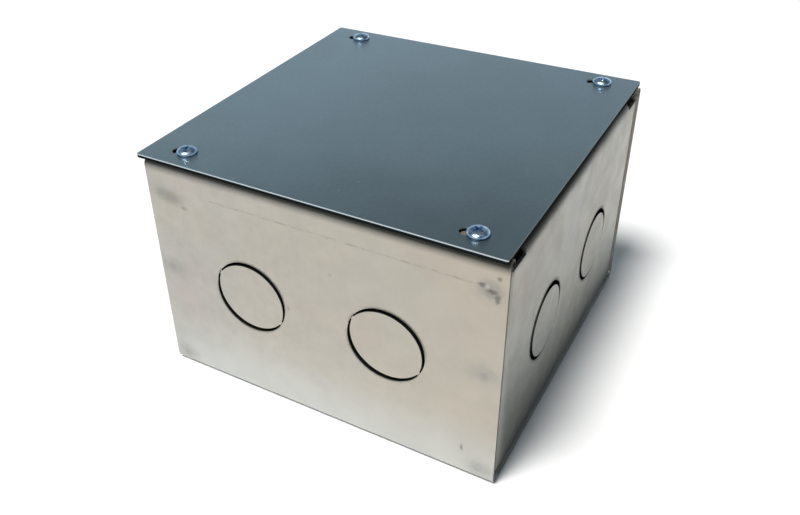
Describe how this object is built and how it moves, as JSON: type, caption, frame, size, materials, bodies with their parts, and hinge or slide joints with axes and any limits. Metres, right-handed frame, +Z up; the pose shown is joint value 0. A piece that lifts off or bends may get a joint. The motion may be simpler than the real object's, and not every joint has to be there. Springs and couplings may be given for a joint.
{
  "type": "electrical junction box",
  "caption": "Square galvanised sheet-steel junction box with round conduit knockouts on its sides and a flat slotted cover held by corner screws.",
  "frame": {"origin": "middle of the box's base, on its underside", "axes": "+X to the right along the front, -Y out of the front, +Z up through the cover"},
  "size_m": [0.1523, 0.1516, 0.105],
  "materials": {
    "galvanised_sheet": "dull hot-dip galvanised sheet with soft pale patches",
    "galvanised_cover": "smooth galvanised sheet, satin, reflecting dark surroundings",
    "galvanised_fitting": "galvanised, slightly duller",
    "zinc_plated_screw": "bright zinc plate with a blue passivate",
    "brass_terminal": "machined brass"
  },
  "bodies": {
    "box": {"body_wrap": "galvanised_sheet", "side_panel_left": "galvanised_sheet", "side_panel_right": "galvanised_sheet", "corner_lug_fl": "galvanised_fitting", "corner_lug_fr": "galvanised_fitting", "corner_lug_rl": "galvanised_fitting", "corner_lug_rr": "galvanised_fitting", "earth_bracket": "galvanised_fitting"},
    "cover": {"cover": "galvanised_cover"},
    "screw_fl": {"cover_screw_fl": "zinc_plated_screw"},
    "screw_fr": {"cover_screw_fr": "zinc_plated_screw"},
    "screw_rl": {"cover_screw_rl": "zinc_plated_screw"},
    "screw_rr": {"cover_screw_rr": "zinc_plated_screw"},
    "slug_front_left": {"knockout_front_left": "galvanised_sheet"},
    "slug_front_right": {"knockout_front_right": "galvanised_sheet"},
    "slug_right_front": {"knockout_right_front": "galvanised_sheet"},
    "slug_right_rear": {"knockout_right_rear": "galvanised_sheet"},
    "slug_rear_right": {"knockout_rear_right": "galvanised_sheet"},
    "slug_rear_left": {"knockout_rear_left": "galvanised_sheet"},
    "slug_left_rear": {"knockout_left_rear": "galvanised_sheet"},
    "slug_left_front": {"knockout_left_front": "galvanised_sheet"},
    "earth_clamp": {"earth_clamp_plate": "brass_terminal", "earth_screw": "brass_terminal"}
  },
  "joints": [
    {"name": "cover_lift", "type": "slide", "parent": "box", "child": "cover", "axis": [0, 0, 1], "range_m": [0, 0.12]},
    {"name": "screw_draw_fl", "type": "slide", "parent": "cover", "child": "screw_fl", "axis": [0, 0, 1], "range_m": [0, 0.0075]},
    {"name": "screw_draw_fr", "type": "slide", "parent": "cover", "child": "screw_fr", "axis": [0, 0, 1], "range_m": [0, 0.0075]},
    {"name": "screw_draw_rl", "type": "slide", "parent": "cover", "child": "screw_rl", "axis": [0, 0, 1], "range_m": [0, 0.0075]},
    {"name": "screw_draw_rr", "type": "slide", "parent": "cover", "child": "screw_rr", "axis": [0, 0, 1], "range_m": [0, 0.0075]},
    {"name": "knock_in_front_left", "type": "hinge", "parent": "box", "child": "slug_front_left", "pos_m": [-0.01614, -0.0738, 0.042], "axis": [-0.5, 0, -0.866], "range_deg": [0, 85]},
    {"name": "knock_in_front_right", "type": "hinge", "parent": "box", "child": "slug_front_right", "pos_m": [0.04386, -0.0738, 0.042], "axis": [-0.5, 0, -0.866], "range_deg": [0, 85]},
    {"name": "knock_in_right_front", "type": "hinge", "parent": "box", "child": "slug_right_front", "pos_m": [0.0733, -0.01769, 0.03469], "axis": [0, -0.7071, -0.7071], "range_deg": [0, 85]},
    {"name": "knock_in_right_rear", "type": "hinge", "parent": "box", "child": "slug_right_rear", "pos_m": [0.0733, 0.04031, 0.03469], "axis": [0, -0.7071, -0.7071], "range_deg": [0, 85]},
    {"name": "knock_in_rear_right", "type": "hinge", "parent": "box", "child": "slug_rear_right", "pos_m": [0.01614, 0.0738, 0.042], "axis": [0.5, 0, -0.866], "range_deg": [0, 85]},
    {"name": "knock_in_rear_left", "type": "hinge", "parent": "box", "child": "slug_rear_left", "pos_m": [-0.04386, 0.0738, 0.042], "axis": [0.5, 0, -0.866], "range_deg": [0, 85]},
    {"name": "knock_in_left_rear", "type": "hinge", "parent": "box", "child": "slug_left_rear", "pos_m": [-0.0733, 0.01769, 0.03469], "axis": [0, 0.7071, -0.7071], "range_deg": [0, 85]},
    {"name": "knock_in_left_front", "type": "hinge", "parent": "box", "child": "slug_left_front", "pos_m": [-0.0733, -0.04031, 0.03469], "axis": [0, 0.7071, -0.7071], "range_deg": [0, 85]},
    {"name": "earth_screw_draw", "type": "slide", "parent": "box", "child": "earth_clamp", "axis": [0, 0, 1], "range_m": [0, 0.005]}
  ]
}
